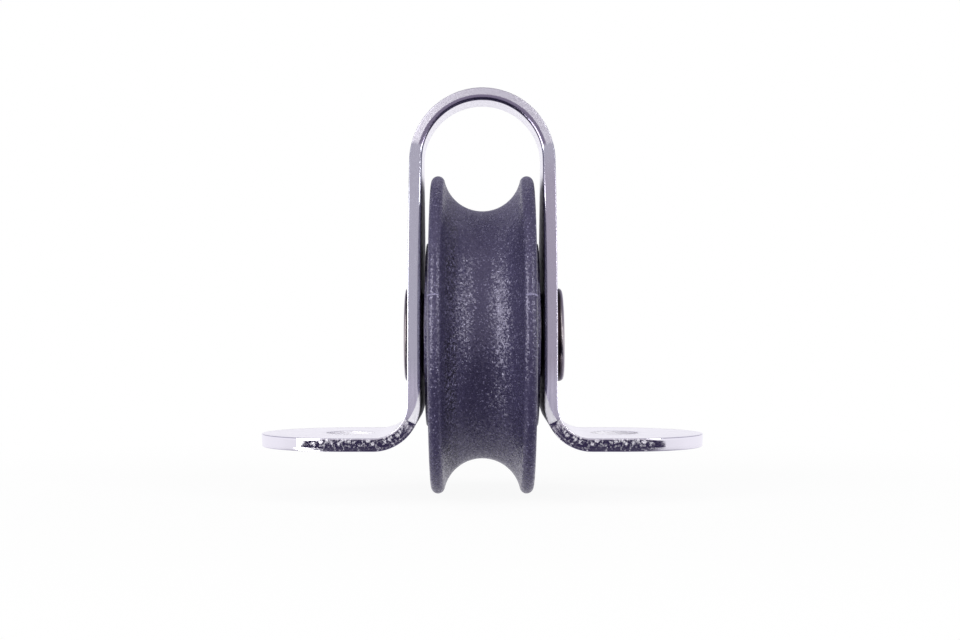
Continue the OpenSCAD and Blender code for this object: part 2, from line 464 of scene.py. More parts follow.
@dataclass(frozen=True)
class MouldedAcetal:
    """Black acetal, moulded against a spark-eroded cavity.

    The eye gets a dark slate plastic with a satin sheen that breaks into fine sparkles, because each grain
    of the cavity tilts its own way; light specks in its colour are partly grain and partly painted glints. A
    rough band lies on one flank of the groove, where the moulding was dressed, and the flash of the parting
    line is pale from rubbing. A ramp runs between two values of its noise, and its third number is the most
    that it reaches, or for the wear the least.
    """

    dark_hex: str = "#2F2B42"
    pale_hex: str = "#3F3B55"
    # Light specks of the grain, partly painted glints for the sparkles.
    speck_and_glint_hex: str = "#9793AE"
    pit_hex: str = "#15121E"
    fleck_hex: str = "#A29EBA"
    flash_hex: str = "#8D89A4"
    sheen: Rgba = (0.86, 0.82, 1.0, 1.0)
    ior: float = 1.64
    rough: Pair = (0.37, 0.17)
    noise_rough: float = 0.6
    grain_mm: float = 0.13
    grain_tilt: float = 0.38
    speck_mm: float = 0.17
    speck_ramp: Triple = (0.58, 0.74, 0.6)
    cloud_mm: float = 2.6
    band_from_mm: float = -3.6
    band_to_mm: float = -2.0
    band_mm: float = 0.24
    worn_ramp: Triple = (0.4, 0.6, 0.45)
    pit_ramp: Triple = (0.46, 0.62, 0.9)
    fleck_ramp: Triple = (0.42, 0.3, 0.7)
    pit_mm: float = 0.09

    def material(self) -> Material:
        """Builds the material on Object coordinates, whose X is the axle.

        Returns:
            The sheave's material.
        """
        made = bpy.data.materials.new("moulded black acetal")
        add = partial(add_node, empty_tree(made))
        where = add("TexCoord").outputs["Object"]
        along = add("SeparateXYZ", inputs={0: where}).outputs["X"]
        noise = {name: add("TexNoise", inputs={
            "Vector": where, "Scale": per_mm(size_mm), "Detail": detail, "Roughness": self.noise_rough})
            for name, size_mm, detail in (
                ("speck", self.speck_mm, 1.0), ("cloud", self.cloud_mm, 3.0), ("pits", self.band_mm, 2.0))}
        middle = (self.band_from_mm + self.band_to_mm) / 2 * MM
        reach = (self.band_to_mm - self.band_from_mm) / 2 * MM
        offset = add("Math", {"operation": "SUBTRACT"}, {0: along, 1: middle})
        away = add("Math", {"operation": "ABSOLUTE"}, {0: offset})
        band = add("MapRange", SMOOTH, {0: away, 1: reach, 2: reach / 3})
        low, high, least = self.worn_ramp
        worn = add("MapRange", SMOOTH, {0: noise["cloud"], 1: low, 2: high, 3: least})
        patchy = add("Math", TIMES, {0: band, 1: worn})
        marks = {name: add("MapRange", SMOOTH, {0: noise[pattern], 1: low, 2: high, 4: most})
                 for name, pattern, (low, high, most) in (
                     ("speck", "speck", self.speck_ramp), ("pit", "pits", self.pit_ramp),
                     ("fleck", "pits", self.fleck_ramp))}
        pit = add("Math", TIMES, {0: patchy, 1: marks["pit"]})
        fleck = add("Math", TIMES, {0: patchy, 1: marks["fleck"]})
        flash = add("Attribute", {"attribute_name": "edge"}).outputs["Fac"]
        colour = linear(self.dark_hex)
        # Colour: cloudy tone, light specks that are partly painted glints, pits and flecks of the worn band,
        # pale flash.
        for mask, over_hex in ((noise["cloud"], self.pale_hex), (marks["speck"], self.speck_and_glint_hex),
                               (pit, self.pit_hex), (fleck, self.fleck_hex), (flash, self.flash_hex)):
            colour = add("Mix", COLOUR, {0: mask, 1: colour, 2: linear(over_hex)})
        dull, glossy = self.rough
        rough = add("MapRange", inputs={0: noise["speck"], 1: NOISE_LOW, 2: NOISE_HIGH, 3: dull, 4: glossy})
        grains = add("TexVoronoi", inputs={"Vector": where, "Scale": per_mm(self.grain_mm)}).outputs["Color"]
        centred = add("VectorMath", {"operation": "SUBTRACT"}, {0: grains, 1: (0.5, 0.5, 0.5)})
        tilt = add("VectorMath", {"operation": "SCALE"}, {0: centred, "Scale": self.grain_tilt})
        pits = add("Bump", inputs={"Height": pit, "Strength": 1.0, "Distance": -self.pit_mm * MM})
        tilted = add("VectorMath", {"operation": "ADD"}, {0: pits, 1: tilt})
        normal = add("VectorMath", {"operation": "NORMALIZE"}, {0: tilted})
        shader = add("BsdfPrincipled", inputs={
            "Base Color": colour, "Roughness": rough, "IOR": self.ior, "Specular Tint": self.sheen,
            "Normal": normal})
        add("OutputMaterial", inputs={"Surface": shader})
        return made


@dataclass(frozen=True)
class TurnedStainless:
    """Stainless turned in a lathe, or rolled over by a spinning tool.

    The eye gets fine rings round the axle that stretch the highlights across them, and painted shade, a dark
    brown colour, in the crevice against the wall.
    """

    name: str
    bright_hex: str
    dull_hex: str
    rough: Pair
    ring_mm: float
    bump_share: float
    bump_mm: float = 0.02
    ring_stretch: float = 20.0
    noise_rough: float = 0.6
    # Painted shade: dark brown in the crevice where each head meets the wall.
    crevice_shade_hex: str = "#2A2022"

    def material(self) -> Material:
        """Builds the material from rings round the axle, which follow the length along the section.

        Returns:
            The material of the rivet or the bush.
        """
        made = bpy.data.materials.new(self.name)
        add = partial(add_node, empty_tree(made))
        lay = add("Attribute", {"attribute_name": "lay"}).outputs["Vector"]
        crevice = add("Attribute", {"attribute_name": "edge"}).outputs["Fac"]
        rings_at = add("Mapping", inputs={
            "Vector": lay, "Scale": (1 / self.ring_mm, 1 / (self.ring_stretch * self.ring_mm), 0.0)})
        rings = add("TexNoise", inputs={
            "Vector": rings_at, "Scale": 1.0, "Detail": 3.0, "Roughness": self.noise_rough})
        colour = linear(self.bright_hex)
        # Painted shade of the crevice is laid over the rings' colour.
        for mask, over_hex in ((rings, self.dull_hex), (crevice, self.crevice_shade_hex)):
            colour = add("Mix", COLOUR, {0: mask, 1: colour, 2: linear(over_hex)})
        glossy, dull = self.rough
        rough = add("MapRange", inputs={0: rings, 1: NOISE_LOW, 2: NOISE_HIGH, 3: glossy, 4: dull})
        bump = add("Bump", inputs={
            "Height": rings, "Strength": self.bump_share, "Distance": self.bump_mm * MM})
        shader = add("BsdfPrincipled", inputs={
            "Base Color": colour, "Metallic": 1.0, "Roughness": rough, "Normal": bump})
        add("OutputMaterial", inputs={"Surface": shader})
        return made


@dataclass(frozen=True)
class Axle:
    """Place and reach of the axle, read from the frame, in millimetres."""

    height: float
    wall_in: float
    bush_r: float
    head_out: float
    head_r: float
    sheave_r: float
    hub_half: float

    @classmethod
    def from_frame(cls) -> "Axle":
        """Reads the boxes of the sheave, the bush and the rivet.

        Returns:
            The axle's place and reach.
        """
        wheel = np.array(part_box("sheave")) / MM
        bush = np.array(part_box("axle_bush")) / MM
        rivet = np.array(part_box("axle_rivet")) / MM
        return cls(height=wheel[:, 2].mean(), wall_in=bush[1, 0], bush_r=bush[1, 1], head_out=rivet[1, 0],
                   head_r=rivet[1, 1], sheave_r=wheel[1, 1], hub_half=wheel[1, 0])

    def revolve(self, profile: np.ndarray, turns: np.ndarray) -> tuple[np.ndarray, np.ndarray]:
        """Carries a profile round the axle.

        A profile point (radius, x) at the angle a, counted from the front upwards, goes to
        (x, -radius cos a, axle height + radius sin a).

        Args:
            profile: Points of shape (n, 2) with radius and place along the axle.
            turns: Angles in radians.

        Returns:
            The grid of shape (angles, n, 3), and its marks with the length along the profile and round it.
        """
        radius, along = profile[None, :, 0], profile[None, :, 1]
        turn = turns[:, None]
        grid = np.stack(np.broadcast_arrays(
            along + 0 * turn, -radius * np.cos(turn), self.height + radius * np.sin(turn)), axis=-1)
        length = np.concatenate(([0], np.cumsum(np.linalg.norm(np.diff(profile, axis=0), axis=1))))
        marks = np.stack(np.broadcast_arrays(length[None, :] + 0 * turn, radius * turn, 0.0, 0.0), axis=-1)
        return grid, marks


@dataclass
class Strap:
    """Stainless strap bent from one blank: crown, two walls, two bends and two feet."""

    axle: Axle
    half_width: float
    crown_top: float
    hole_x: float
    hole_r: float
    thick: float = 1.2
    crown_half: float = 2.75
    bend_r: float = 3.1
    full_h: float = 3.7
    neck_rise: float = 1.5
    neck_blend: float = 0.25
    neck_soft: float = 0.6
    outer_edge_r: float = 0.1
    inner_edge_r: float = 0.3
    crown_edge_r: float = 0.46
    foot_top_r: float = 0.07
    foot_under_r: float = 0.08
    foot_fade: Pair = (2.0, 0.5)
    crown_tilt: float = 0.12
    foot_tilt: float = 0.04
    tilt_soft: float = 0.25
    hole_edge_r: float = 0.06
    rivet_hole_r: float = 3.05
    crown_steps: int = 56
    wall_steps: int = 72
    bend_steps: int = 36
    face_steps: int = 16
    round_steps: int = 7
    edge_steps: int = 6
    rivet_rings: int = 4
    side_steps: int = 5
    end_steps: int = 96
    foot_rings: int = 7
    hole_steps: int = 5
    finish: TumbledStainless = field(default_factory=TumbledStainless)

    @classmethod
    def from_frame(cls, axle: Axle) -> "Strap":
        """Reads the strap's box and the screw pattern of the record.

        Args:
            axle: The axle that the strap carries.

        Returns:
            The strap, not built yet.
        """
        box = np.array(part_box("strap")) / MM
        screws = next(item for item in frame["record"]["mounts"] if item["name"] == "deck_screws")
        return cls(axle=axle, half_width=box[1, 1], crown_top=box[1, 2],
                   hole_x=screws["dims"]["spacing_x_mm"] / 2, hole_r=screws["dims"]["hole_r_mm"])

    def __post_init__(self) -> None:
        """Works out the places that follow from the sizes."""
        self.wall_mid = self.axle.wall_in + self.thick / 2
        self.bend_mid_r = self.bend_r + self.thick / 2
        self.bend_x = self.axle.wall_in + self.thick + self.bend_r
        self.bend_z = self.thick + self.bend_r
        self.arch_z = self.crown_top - self.thick - self.axle.wall_in
        self.shoulder_z = self.bend_z + self.full_h
        self.neck_z = self.arch_z + self.neck_rise
        self.crown_run = self.wall_mid * np.pi / 2
        self.bend_run = self.crown_run + self.arch_z - self.bend_z
        self.foot_run = self.bend_run + self.bend_mid_r * np.pi / 2
        self.neck_run = self.wall_mid * np.arccos(self.neck_rise / self.wall_mid)

    def path(self) -> tuple[np.ndarray, np.ndarray, np.ndarray]:
        """Middle line of the strip in the XZ plane, from the left foot over the crown to the right foot.

        Half of it is a quarter circle round the arch's centre, a straight wall and a quarter circle round the
        bend's centre. The other half mirrors it.

        Returns:
            Points and outward normals, both of shape (n, 2), and the run from the crown's top, both ways.
        """
        crown = arc((0, self.arch_z), self.wall_mid, 90, 0, self.crown_steps)
        heights = np.linspace(self.arch_z, self.bend_z, self.wall_steps + 1)[1:]
        wall = np.column_stack((np.full_like(heights, self.wall_mid), heights))
        bend = arc((self.bend_x, self.bend_z), self.bend_mid_r, 180, 270, self.bend_steps)[1:]
        points = np.concatenate((crown, wall, bend))
        outward = np.concatenate((
            (crown - (0, self.arch_z)) / self.wall_mid, np.tile((1.0, 0.0), (len(wall), 1)),
            ((self.bend_x, self.bend_z) - bend) / self.bend_mid_r))
        run = np.concatenate((
            np.linspace(0, self.crown_run, len(crown)), self.crown_run + self.arch_z - heights,
            np.linspace(self.bend_run, self.foot_run, len(bend) + 1)[1:]))
        flip = np.array((-1.0, 1.0))
        return (np.concatenate((points[:0:-1] * flip, points)),
                np.concatenate((outward[:0:-1] * flip, outward)), np.concatenate((run[:0:-1], run)))

    def half_widths(self, height: np.ndarray) -> np.ndarray:
        """Half width of the strip by the height of its middle line above the deck.

        Up the wall it follows a circle that is tangent to the straight side at the shoulder and meets the
        crown's width at the neck. The two are joined by a soft maximum, half the sum plus half the root of
        the squared difference and a small blend.

        Args:
            height: Height of the middle line above the deck.

        Returns:
            Half width at each place.
        """
        narrowing = self.half_width - self.crown_half
        rise = self.neck_z - self.shoulder_z
        radius = (rise ** 2 + narrowing ** 2) / (2 * narrowing)
        climb = np.maximum(height - self.shoulder_z, 0)
        gap = narrowing - radius + np.sqrt(radius ** 2 - climb ** 2)
        soft = self.neck_blend * np.minimum(1, climb / rise)
        return self.crown_half + (gap + np.sqrt(gap ** 2 + soft ** 2)) / 2

    def section(self) -> dict[str, np.ndarray]:
        """Unit section of the strip, once round from the outer face's left side.

        Each point has a share of the width, a weight between the outer and the inner edge radius, and the
        direction (through, across) in which that radius is added. The second half is the first turned by half
        a turn, which swaps the two radii.

        Returns:
            Arrays share, outer, through and across.
        """
        faces = np.linspace(-1, 1, self.face_steps + 1)
        turn = np.linspace(0, np.pi / 2, self.round_steps + 1)[1:]
        slide = np.linspace(1, 0, self.edge_steps + 1)[1:]
        flat, bow, side = np.ones_like(faces), np.ones_like(turn), np.ones_like(slide)
        share = np.concatenate((faces, bow, side, bow))
        outer = np.concatenate((flat, bow, slide, 0 * bow))
        through = np.concatenate((flat, np.cos(turn), 0 * side, -np.sin(turn)))
        across = np.concatenate((0 * flat, np.sin(turn), side, np.cos(turn)))
        return {"share": np.concatenate((share, -share[1:-1])),
                "outer": np.concatenate((outer, 1 - outer[1:-1])),
                "through": np.concatenate((through, -through[1:-1])),
                "across": np.concatenate((across, -across[1:-1]))}

    def through_offset(self, unit: dict[str, np.ndarray], outer_r: np.ndarray | float,
                       inner_r: np.ndarray | float) -> tuple[np.ndarray, np.ndarray]:
        """Offset of section points from the middle line, and the edge radius that applies to them.

        A point lies at the centre of its edge's rounding, half the sheet less that radius, plus the radius
        along its own direction.

        Args:
            unit: Unit section.
            outer_r: Edge radius on the outer side.
            inner_r: Edge radius on the inner side.

        Returns:
            Offset through the sheet and edge radius.
        """
        outer, inner = unit["outer"], 1 - unit["outer"]
        radius = outer * outer_r + inner * inner_r
        centre = outer * (self.thick / 2 - outer_r) - inner * (self.thick / 2 - inner_r)
        return centre + radius * unit["through"], radius

    def add_strip(self, shell: Shell) -> None:
        """Adds crown, walls and bends as the section carried along the middle line, with the rivet's holes.

        The inner edge's rounding grows over the crown and shrinks towards the feet. Over the crown the edge
        leans, because the bent sheet spreads on its inner side and draws in on its outer side. From the bends
        on it leans the other way, as the blanking tool left it. The edge mark is the square of how far a
        point's direction goes across: 0 on a face and 1 on an edge.

        Args:
            shell: Mesh that gets the strip.
        """
        points, outward, run = self.path()
        unit = self.section()
        run_col = run[:, None]
        over_crown = 1 - smooth_step(self.neck_run - self.neck_soft, self.neck_run + self.neck_soft, run_col)
        before, after = self.foot_fade
        to_foot = smooth_step(self.bend_run - before, self.bend_run + after, run_col)
        outer_r = self.outer_edge_r + (self.foot_top_r - self.outer_edge_r) * to_foot
        inner_r = (self.inner_edge_r + (self.crown_edge_r - self.inner_edge_r) * over_crown
                   + (self.foot_under_r - self.inner_edge_r) * to_foot)
        turned_out = smooth_step(
            -self.tilt_soft, self.tilt_soft, run_col - self.bend_run - self.finish.dark_reach)
        lean = self.crown_tilt * over_crown - self.foot_tilt * turned_out
        offset, radius = self.through_offset(unit, outer_r, inner_r)
        half = (self.half_widths(points[:, 1:]) - self.foot_tilt * turned_out
                - lean * offset / (self.thick / 2))
        across = unit["share"] * (half - radius) + radius * unit["across"]
        grid = np.stack((points[:, :1] + outward[:, :1] * offset, across,
                         points[:, 1:] + outward[:, 1:] * offset), axis=-1)
        marks = np.stack(np.broadcast_arrays(run_col, across, offset, unit["across"] ** 2), axis=-1)
        keep = np.ones((grid.shape[0] - 1, grid.shape[1]), bool)
        near = (np.abs(points[:, 1] - self.axle.height) < self.axle.head_r) & (run < self.bend_run)
        for side in (-1, 1):
            rows = np.flatnonzero(near & (points[:, 0] * side > 0))
            self.add_rivet_hole(shell, grid, marks, keep, rows)
        shell.add_grid(grid, marks, (False, True), keep)

    def add_rivet_hole(self, shell: Shell, grid: np.ndarray, marks: np.ndarray, keep: np.ndarray,
                       rows: np.ndarray) -> None:
        """Opens one wall for the rivet: each face gets a window, filled by a fan from its rim to the hole.

        The points of the hole lie on the spokes from the axle to the window's rim, at the hole's radius.
        Sorted by angle, those of the two faces make the hole's own wall.

        Args:
            shell: Mesh that gets the fans and the hole's wall.
            grid: Points of the strip.
            marks: Marks of the strip.
            keep: Cells of the strip that stay, in which the windows are cleared.
            rows: Rows of the strip that the windows span.
        """
        quarter = self.face_steps // 4
        share = np.linspace(0, 1, self.rivet_rings + 1)[:, None, None]
        rings = []
        for start in (quarter, grid.shape[1] // 2 + quarter):
            columns = np.arange(start, start + 2 * quarter + 1)
            keep[rows[0]:rows[-1], columns[0]:columns[-1]] = False
            wide, tall = np.ones(len(columns) - 1, int), np.ones(len(rows) - 1, int)
            rim_rows = np.concatenate((rows[0] * wide, rows[:-1], rows[-1] * wide, rows[:0:-1]))
            rim_columns = np.concatenate((
                columns[:-1], columns[-1] * tall, columns[:0:-1], columns[0] * tall))
            rim = grid[rim_rows, rim_columns]
            spokes = unit_rows(rim[:, 1:] - (0, self.axle.height))
            ring = np.column_stack((rim[:, 0], (0, self.axle.height) + self.rivet_hole_r * spokes))
            fan = (1 - share) * ring + share * rim
            fan_marks = np.stack(np.broadcast_arrays(
                self.crown_run + self.arch_z - fan[..., 2], fan[..., 1], marks[rows[0], columns[0], 2], 0.0),
                axis=-1)
            shell.add_grid(fan, fan_marks, (False, True))
            rings.append(ring[np.argsort(np.arctan2(ring[:, 2] - self.axle.height, ring[:, 1]))])
        shell.add_grid(np.stack(rings), None, (False, True))

    def add_foot(self, shell: Shell, side: int) -> None:
        """Adds one foot: a rounded rim round its outline, two flat fans and the wall of the screw hole.

        The outline is straight from the bend to the hole's place and then a half circle about the hole. Each
        fan blends the ring round the hole, point by point, into the outline.

        Args:
            shell: Mesh that gets the foot.
            side: 1 for the right foot, -1 for the left one.
        """
        unit = self.section()
        rim_slice = slice(self.face_steps, len(unit["share"]) // 2 + 1)
        rim_unit = {name: values[rim_slice] for name, values in unit.items()}
        offset, radius = self.through_offset(rim_unit, self.foot_top_r, self.foot_under_r)
        inset = radius * (1 - rim_unit["across"]) + self.foot_tilt * (1 - offset / (self.thick / 2))
        straight = np.linspace(self.bend_x, self.hole_x, self.side_steps + 1)[:-1]
        sideways = np.tile((0.0, 1.0), (len(straight), 1))
        outward = np.concatenate((-sideways, arc((0, 0), 1, -90, 90, self.end_steps), sideways))
        along = np.concatenate((straight, np.full(self.end_steps + 1, self.hole_x), straight[::-1]))
        base = np.column_stack((along, np.zeros_like(along))) + self.half_width * outward
        flat = base[:, None, :] - outward[:, None, :] * inset[None, :, None]
        levels = np.broadcast_to(self.thick / 2 + offset, flat.shape[:2])
        rim = np.concatenate((flat, levels[..., None]), axis=-1)
        seam = np.linspace(1, -1, self.face_steps + 1)[1:-1]
        back_x = np.full_like(seam, self.bend_x)
        bed = np.concatenate((base, np.column_stack((back_x, seam * self.half_width))))
        spokes = unit_rows(bed - (self.hole_x, 0))
        rim_marks = np.broadcast_to(rim_unit["across"] ** 2, rim.shape[:2])
        self.add_foot_grid(shell, side, rim, rim_marks, False)
        share = np.linspace(0, 1, self.foot_rings + 1)[:, None, None]
        ring = (self.hole_x, 0) + (self.hole_r + self.hole_edge_r) * spokes
        for level, drawn_in, column in ((self.thick, self.foot_top_r, 0),
                                        (0.0, self.foot_under_r + 2 * self.foot_tilt, -1)):
            back = np.column_stack((back_x, seam * (self.half_width - drawn_in), np.full_like(seam, level)))
            loop = np.concatenate((rim[:, column], back))
            fan = (1 - share) * np.column_stack((ring, np.full(len(ring), level))) + share * loop
            self.add_foot_grid(shell, side, fan, np.zeros(fan.shape[:2]), True)
        lip = self.hole_edge_r
        wall = np.concatenate((arc((self.hole_r + lip, self.thick - lip), lip, 90, 180, self.hole_steps),
                               arc((self.hole_r + lip, lip), lip, 180, 270, self.hole_steps)))
        bore = np.concatenate((
            (self.hole_x, 0) + wall[:, None, :1] * spokes[None],
            np.broadcast_to(wall[:, None, 1:], (len(wall), len(spokes), 1))), axis=-1)
        bored = np.full(bore.shape[:2], 2.0)
        bored[[0, -1]] = 0
        self.add_foot_grid(shell, side, bore, bored, True)

    def add_foot_grid(self, shell: Shell, side: int, grid: np.ndarray, edge: np.ndarray,
                      closed: bool) -> None:
        """Adds a grid of a foot, mirrored to its side, with the marks that follow from its points.

        Args:
            shell: Mesh that gets the grid.
            side: 1 for the right foot, -1 for the left one.
            grid: Points of the right foot.
            edge: Edge mark of each point: 0 on a face, 1 on an edge and 2 in the screw hole.
            closed: Whether the columns close into a ring.
        """
        marks = np.stack((self.foot_run + grid[..., 0] - self.bend_x, grid[..., 1],
                          grid[..., 2] - self.thick / 2, edge), axis=-1)
        shell.add_grid(grid * (side, 1.0, 1.0), marks, (False, closed))

    def build(self) -> Object:
        """Builds and dresses the strap.

        Returns:
            The strap's object.
        """
        shell = Shell()
        self.add_strip(shell)
        for side in (-1, 1):
            self.add_foot(shell, side)
        finish = self.finish.material(self.neck_run, self.bend_run, self.foot_run)
        return place(shell.to_object("bent_strap"), Body.FRAME, "strap", "polished_stainless", finish)


@dataclass
class Sheave:
    """Black moulded sheave with a half-round groove, round lips and a raised hub on each side."""

    axle: Axle
    groove_bottom_r: float = 11.7
    groove_r: float = 3.65
    lip_half: float = 4.8
    side_half: float = 5.0
    hub_r: float = 8.65
    run_clear: float = 0.08
    hub_edge_r: float = 0.12
    seam_angle: float = 14.0
    seam_high: float = 0.025
    seam_nick: float = 0.06
    seam_wide: float = 0.07
    seam_reach: float = 0.03
    nick_from: float = 3.84
    turns: int = 300
    seam_steps: int = 24
    hub_steps: int = 5
    side_steps: int = 8
    lip_steps: int = 18
    groove_steps: int = 64
    finish: MouldedAcetal = field(default_factory=MouldedAcetal)

    def profile(self) -> tuple[np.ndarray, np.ndarray]:
        """Half section of the sheave, once round from the middle of its bore.

        The lip is the circle that touches the outer diameter, the side and the groove's circle. The groove
        runs between the points where it touches the two lips.

        Returns:
            Points with radius and place along the axle, and a mask of the lips and the groove.
        """
        groove_z = self.groove_bottom_r + self.groove_r
        outside = groove_z - self.axle.sheave_r
        total = self.lip_half + self.groove_r - outside
        lip_r = total - np.sqrt(total ** 2 - self.lip_half ** 2 - outside ** 2 + self.groove_r ** 2)
        lip_z, lip_x = self.axle.sheave_r - lip_r, self.lip_half - lip_r
        touch = np.degrees(np.arctan2(lip_x, groove_z - lip_z))
        bore_r = self.axle.bush_r + self.run_clear
        side = rounded([
            (bore_r, 0), (bore_r, -self.axle.hub_half), (self.hub_r, -self.axle.hub_half),
            (self.hub_r, -self.side_half), (lip_z, -self.lip_half)], self.hub_edge_r, self.hub_steps)
        share = np.linspace(0, 1, self.side_steps + 1)[1:, None]
        side = np.concatenate((side[:-1], side[-2] + (side[-1] - side[-2]) * share))
        lip = arc((lip_z, -lip_x), lip_r, -90, touch, self.lip_steps)[1:]
        groove = arc((groove_z, 0), self.groove_r, 180 + touch, 180 - touch, self.groove_steps)[1:-1]
        flip = np.array((1.0, -1.0))
        points = np.concatenate((side, lip, groove, lip[::-1] * flip, side[:0:-1] * flip))
        mask = np.zeros(len(points))
        mask[len(side):len(side) + 2 * len(lip) + len(groove)] = 1
        return points, mask

    def build(self) -> Object:
        """Builds and dresses the sheave, with the mould's parting line across the groove, front and back.

        The line is a ridge: a bell curve of the distance round the wheel, added along the section's normal,
        and higher on the lips than in the groove.

        Returns:
            The sheave's object.
        """
        points, mask = self.profile()
        seam = np.radians(self.seam_angle) + np.array((0, np.pi))
        fine = np.linspace(-self.seam_reach, self.seam_reach, self.seam_steps + 1)
        even = np.linspace(0, 2 * np.pi, self.turns, endpoint=False)
        turns = np.unique(np.concatenate((even, seam[0] + fine, seam[1] + fine)))
        grid, marks = self.axle.revolve(points, turns)
        slope = unit_rows(np.gradient(points, axis=0))
        away = np.min(np.abs(turns[:, None] - seam[None, :]), axis=1)[:, None] * points[None, :, 0]
        high = np.where(np.abs(points[:, 1]) > self.nick_from, self.seam_nick, self.seam_high) * mask
        ridge = high * np.exp(-(away / self.seam_wide) ** 2)
        turn = turns[:, None]
        radial = ridge * slope[:, 1]
        grid = grid + np.stack((-ridge * slope[:, 0], -radial * np.cos(turn), radial * np.sin(turn)), axis=-1)
        marks[..., 3] = np.where(high > self.seam_high, ridge / self.seam_nick, 0)
        shell = Shell()
        shell.add_grid(grid, marks, (True, True))
        made = shell.to_object("moulded_sheave")
        return place(made, Body.WHEEL, "sheave", "black_acetal", self.finish.material())


@dataclass
class TubeRivet:
    """Tube rivet through both walls, rolled over at its ends, and the bush that it holds.

    The painted shade of the crevice ends between two shares of a head's thickness. Pressed gives the share
    of its thickness that each head keeps at its top and at its bottom, first on the left and then on the
    right.
    """

    axle: Axle
    wall_thick: float = 1.2
    tube_r: float = 3.0
    bore_r: float = 2.2
    clear: float = 0.05
    bush_edge_r: float = 0.15
    crevice: Pair = (0.5, 0.95)
    pressed: tuple[Pair, ...] = ((0.54, 0.58), (0.84, 1.0))
    turns: int = 160
    rim_steps: int = 12
    roll_steps: int = 10
    edge_steps: int = 4
    rivet_finish: TurnedStainless = TurnedStainless(
        "rolled stainless rivet", "#D8D2D4", "#A69DA0", rough=(0.21, 0.36), ring_mm=0.3, bump_share=0.15)
    bush_finish: TurnedStainless = TurnedStainless(
        "turned stainless bush", "#BDB9C1", "#9A969F", rough=(0.17, 0.32), ring_mm=0.12, bump_share=0.3)

    def __post_init__(self) -> None:
        """Works out where the walls end, and the angles of the rings."""
        self.wall_out = self.axle.wall_in + self.wall_thick
        self.angles = np.linspace(0, 2 * np.pi, self.turns, endpoint=False)

    def mirrored(self, half: np.ndarray) -> np.ndarray:
        """Closes half a section, from the middle to one end and back, with its mirror image."""
        return np.concatenate((half, half[-2:0:-1] * (1.0, -1.0)))

    def rivet_profile(self) -> np.ndarray:
        """Section of the rivet: tube, flange with a full round rim, and mouth rolled on a quarter circle.

        Returns:
            Points with radius and place along the axle.
        """
        head = self.axle.head_out - self.wall_out
        rim_x, rim_z = self.wall_out + head / 2, self.axle.head_r - head / 2
        roll = self.tube_r - self.bore_r
        return self.mirrored(np.concatenate((
            [(self.tube_r, 0.0), (self.tube_r, self.wall_out)],
            arc((rim_z, rim_x), head / 2, -90, 90, self.rim_steps),
            arc((self.tube_r, self.axle.head_out - roll), roll, 90, 180, self.roll_steps),
            [(self.bore_r, 0.0)])))

    def build_rivet(self) -> Object:
        """Builds and dresses the rivet, whose heads are pressed unevenly.

        The share of its thickness that a head keeps runs straight from its top to its bottom.

        Returns:
            The rivet's object.
        """
        grid, marks = self.axle.revolve(self.rivet_profile(), self.angles)
        low = (1 - (grid[..., 2] - self.axle.height) / self.axle.head_r) / 2
        left, right = (top + (bottom - top) * low for top, bottom in self.pressed)
        press = np.where(grid[..., 0] < 0, left, right)
        proud = np.maximum(np.abs(grid[..., 0]) - self.wall_out, 0)
        # Edge mark of the painted crevice shade: full next to the wall, gone towards the head's top.
        marks[..., 3] = 1 - smooth_step(*self.crevice, proud / (self.axle.head_out - self.wall_out))
        grid[..., 0] = np.sign(grid[..., 0]) * (np.abs(grid[..., 0]) - proud * (1 - press))
        shell = Shell()
        shell.add_grid(grid, marks, (True, True))
        made = shell.to_object("tube_rivet")
        return place(made, Body.FRAME, "axle_rivet", "rivet_stainless", self.rivet_finish.material())

    def build_bush(self) -> Object:
        """Builds and dresses the bush, a sleeve with rounded ends between the walls.

        Returns:
            The bush's object.
        """
        bore, outer, end = self.tube_r + self.clear, self.axle.bush_r, self.axle.wall_in
        half = rounded([(outer, 0), (outer, end), (bore, end), (bore, 0)], self.bush_edge_r, self.edge_steps)
        grid, marks = self.axle.revolve(self.mirrored(half), self.angles)
        shell = Shell()
        shell.add_grid(grid, marks, (True, True))
        made = shell.to_object("turned_bush")
        return place(made, Body.FRAME, "axle_bush", "turned_stainless", self.bush_finish.material())


@dataclass(frozen=True)
class Softbox:
    """Area lamp aimed at the middle of the block: where it stands, its size and its radiance."""

    name: str
    azimuth: float
    elevation: float
    distance_mm: float
    wide_mm: float
    high_mm: float
    radiance: float
    mirrored: bool = True

    def build(self, target: Vector) -> None:
        """Adds the lamp. Azimuth 0 is the camera's side and counts towards +X.

        The power that gives a radiance is the radiance times pi times the lamp's area.

        Args:
            target: Point that the lamp faces, in metres.
        """
        data = bpy.data.lights.new(self.name, "AREA")
        data.shape = "RECTANGLE"
        data.size, data.size_y = self.wide_mm * MM, self.high_mm * MM
        data.energy = self.radiance * np.pi * data.size * data.size_y
        made = bpy.data.objects.new(self.name, data)
        turn, rise = np.radians(self.azimuth), np.radians(self.elevation)
        toward = Vector((np.sin(turn) * np.cos(rise), -np.cos(turn) * np.cos(rise), np.sin(rise)))
        made.location = target + toward * self.distance_mm * MM
        made.rotation_euler = toward.to_track_quat("Z", "Y").to_euler()
        made.visible_glossy = self.mirrored
        bpy.context.scene.collection.objects.link(made)


